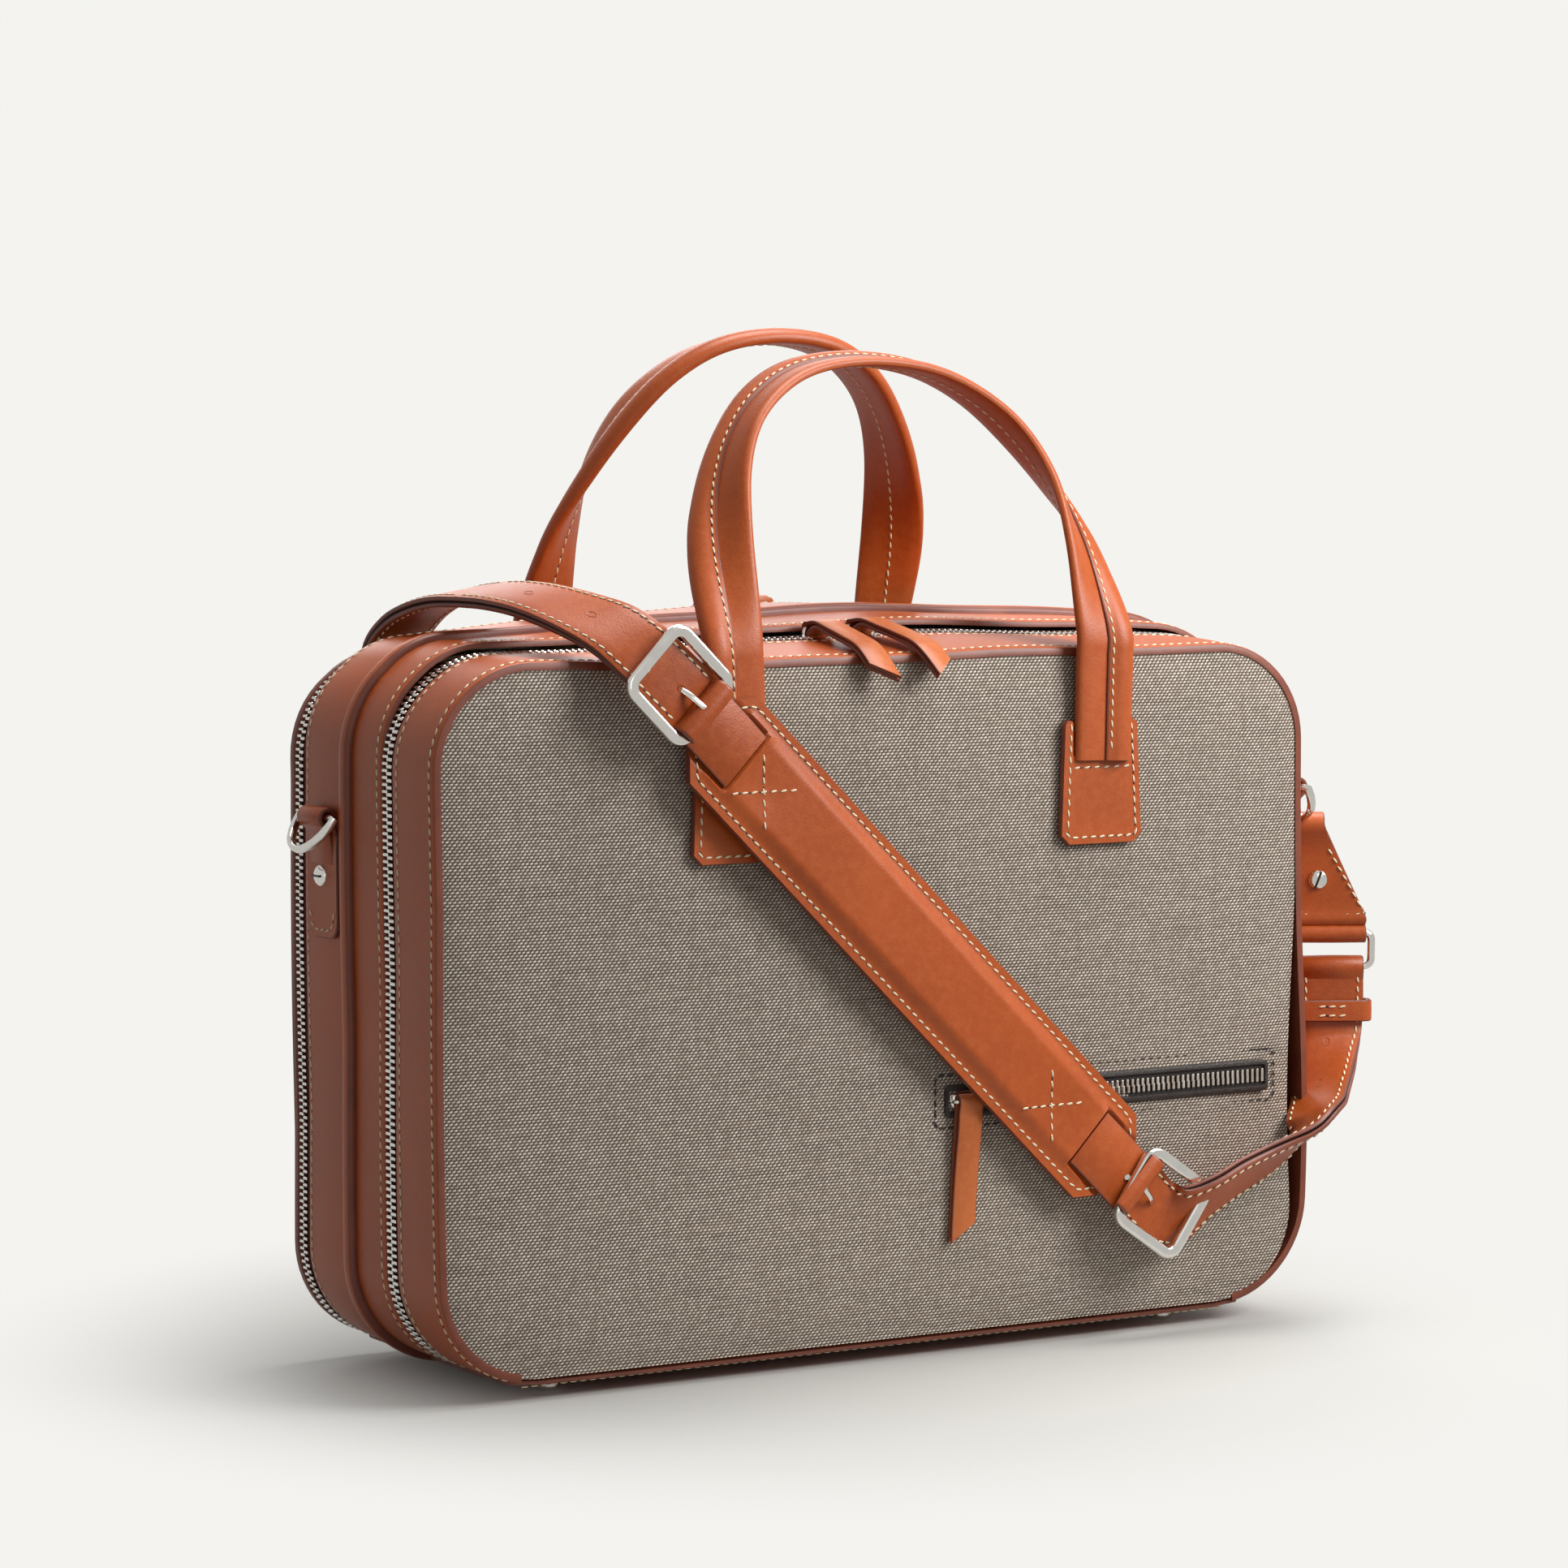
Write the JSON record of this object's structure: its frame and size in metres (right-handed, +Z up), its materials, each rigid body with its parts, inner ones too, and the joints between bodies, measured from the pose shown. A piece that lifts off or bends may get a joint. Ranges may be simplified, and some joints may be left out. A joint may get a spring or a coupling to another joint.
{
  "type": "satchel",
  "caption": "Two-compartment satchel with canvas panels, leather bands, zipped covers that open, twin carrying handles and a padded shoulder strap.",
  "frame": {"origin": "centre of the base at floor level, on the middle plane of the width and of the depth between the two cover edges", "axes": "+X to the right as seen from the front, +Y to the rear, +Z up; the front panel faces -Y"},
  "size_m": [0.4827, 0.1836, 0.427],
  "materials": {
    "tan_leather": "smooth, slightly waxy",
    "dark_leather": "fine grain",
    "painted_leather_edge": "painted cut edge",
    "woven_canvas": "coarse two-tone weave",
    "zip_tape": "woven tape with metal teeth",
    "cotton_lining": "plain cotton",
    "stiffening_board": "fibre board",
    "polished_nickel": "polished nickel plate"
  },
  "bodies": {
    "bag_core": {"base_strip": "tan_leather", "base_board": "stiffening_board", "base_feet": "polished_nickel", "core_front_band": "tan_leather", "core_welt": "painted_leather_edge", "core_rear_band": "tan_leather", "divider_board": "stiffening_board", "core_lining": "cotton_lining", "front_zip_core_half": "zip_tape", "rear_zip_core_half": "zip_tape", "left_ring_tab": "tan_leather", "left_ring_screw": "polished_nickel", "upper_strap_front": "tan_leather"},
    "left_ring": {"left_d_ring": "polished_nickel"},
    "front_cover": {"front_canvas_panel": "woven_canvas", "front_lining": "cotton_lining", "front_band": "tan_leather", "front_zip_cover_half": "zip_tape", "front_handle_tabs": "tan_leather", "right_ring_tab": "tan_leather", "right_ring_screw": "polished_nickel", "right_d_ring": "polished_nickel", "pocket_welt": "dark_leather", "pocket_bag": "cotton_lining", "pocket_zip": "zip_tape", "shoulder_pad": "tan_leather", "upper_tongue": "tan_leather", "upper_buckle": "polished_nickel", "lower_tongue": "tan_leather", "lower_buckle": "polished_nickel", "lower_strap": "tan_leather", "lower_keeper": "tan_leather", "lower_square_ring": "polished_nickel", "lower_connector": "tan_leather", "lower_connector_screw": "polished_nickel"},
    "front_handle_body": {"front_handle": "tan_leather"},
    "pocket_slider_body": {"pocket_slider": "polished_nickel"},
    "pocket_pull_body": {"pocket_pull": "tan_leather"},
    "front_left_slider_body": {"front_left_slider": "polished_nickel"},
    "front_left_pull_body": {"front_left_pull": "tan_leather"},
    "front_right_slider_body": {"front_right_slider": "polished_nickel"},
    "front_right_pull_body": {"front_right_pull": "tan_leather"},
    "rear_left_slider_body": {"rear_left_slider": "polished_nickel"},
    "rear_left_pull_body": {"rear_left_pull": "tan_leather"},
    "rear_right_slider_body": {"rear_right_slider": "polished_nickel"},
    "rear_right_pull_body": {"rear_right_pull": "tan_leather"},
    "upper_prong_body": {"upper_prong": "polished_nickel"},
    "lower_prong_body": {"lower_prong": "polished_nickel"},
    "rear_cover": {"rear_canvas_panel": "woven_canvas", "rear_lining": "cotton_lining", "rear_band": "painted_leather_edge", "rear_zip_cover_half": "zip_tape", "rear_handle_tabs": "tan_leather", "upper_strap_rear": "tan_leather", "upper_keeper": "tan_leather"},
    "rear_handle_body": {"rear_handle": "tan_leather"},
    "free_ring": {"upper_square_ring": "polished_nickel"},
    "free_connector": {"upper_connector": "tan_leather", "upper_connector_screw": "polished_nickel"}
  },
  "joints": [
    {"name": "front_cover_hinge", "type": "hinge", "parent": "bag_core", "child": "front_cover", "pos_m": [0, -0.0645, 0.0065], "axis": [1, 0, 0], "range_deg": [0, 45], "deforming": ["upper_strap_front"]},
    {"name": "rear_cover_hinge", "type": "hinge", "parent": "bag_core", "child": "rear_cover", "pos_m": [0, 0.0645, 0.0065], "axis": [-1, 0, 0], "range_deg": [0, 60], "deforming": ["upper_strap_rear"]},
    {"name": "front_handle_swing", "type": "hinge", "parent": "front_cover", "child": "front_handle_body", "pos_m": [0, -0.0729, 0.25], "axis": [1, 0, 0], "range_deg": [-1, 1.5]},
    {"name": "rear_handle_swing", "type": "hinge", "parent": "rear_cover", "child": "rear_handle_body", "pos_m": [0, 0.0729, 0.25], "axis": [1, 0, 0], "range_deg": [-75, 1]},
    {"name": "left_ring_swing", "type": "hinge", "parent": "bag_core", "child": "left_ring", "pos_m": [-0.2147, 0.031, 0.23], "axis": [0, 1, 0], "range_deg": [-28, 115]},
    {"name": "pocket_slider_slide", "type": "slide", "parent": "front_cover", "child": "pocket_slider_body", "axis": [1, 0, 0], "range_m": [0, 0.125]},
    {"name": "pocket_pull_swing", "type": "hinge", "parent": "pocket_slider_body", "child": "pocket_pull_body", "pos_m": [0.034, -0.0723, 0.107], "axis": [-1, 0, 0], "range_deg": [0, 45]},
    {"name": "front_left_slider_slide", "type": "slide", "parent": "front_cover", "child": "front_left_slider_body", "axis": [-1, 0, 0], "range_m": [0, 0.04]},
    {"name": "front_left_pull_swing", "type": "hinge", "parent": "front_left_slider_body", "child": "front_left_pull_body", "pos_m": [-0.0105, -0.025, 0.2984], "axis": [-1, 0, 0], "range_deg": [0, 140]},
    {"name": "front_right_slider_slide", "type": "slide", "parent": "front_cover", "child": "front_right_slider_body", "axis": [1, 0, 0], "range_m": [0, 0.04]},
    {"name": "front_right_pull_swing", "type": "hinge", "parent": "front_right_slider_body", "child": "front_right_pull_body", "pos_m": [0.0105, -0.025, 0.2984], "axis": [-1, 0, 0], "range_deg": [0, 140]},
    {"name": "rear_left_slider_slide", "type": "slide", "parent": "rear_cover", "child": "rear_left_slider_body", "axis": [-1, 0, 0], "range_m": [0, 0.04]},
    {"name": "rear_left_pull_swing", "type": "hinge", "parent": "rear_left_slider_body", "child": "rear_left_pull_body", "pos_m": [-0.0105, 0.0576, 0.2984], "axis": [1, 0, 0], "range_deg": [0, 125]},
    {"name": "rear_right_slider_slide", "type": "slide", "parent": "rear_cover", "child": "rear_right_slider_body", "axis": [1, 0, 0], "range_m": [0, 0.04]},
    {"name": "rear_right_pull_swing", "type": "hinge", "parent": "rear_right_slider_body", "child": "rear_right_pull_body", "pos_m": [0.0105, 0.0576, 0.2984], "axis": [1, 0, 0], "range_deg": [0, 125]},
    {"name": "upper_prong_swing", "type": "hinge", "parent": "front_cover", "child": "upper_prong_body", "pos_m": [-0.10013, -0.0862, 0.27431], "axis": [0.7009, 0, 0.7133], "range_deg": [0, 80]},
    {"name": "lower_prong_swing", "type": "hinge", "parent": "front_cover", "child": "lower_prong_body", "pos_m": [0.11013, -0.0844, 0.06769], "axis": [-0.7009, 0, -0.7133], "range_deg": [0, 80]},
    {"name": "free_ring_swing", "type": "hinge", "parent": "rear_cover", "child": "free_ring", "pos_m": [-0.158, 0.0785, 0.222], "axis": [1, 0, 0], "range_deg": [-1.5, 100]},
    {"name": "free_connector_swing", "type": "hinge", "parent": "free_ring", "child": "free_connector", "pos_m": [-0.158, 0.0785, 0.207], "axis": [1, 0, 0], "range_deg": [-1.5, 90]}
  ]
}
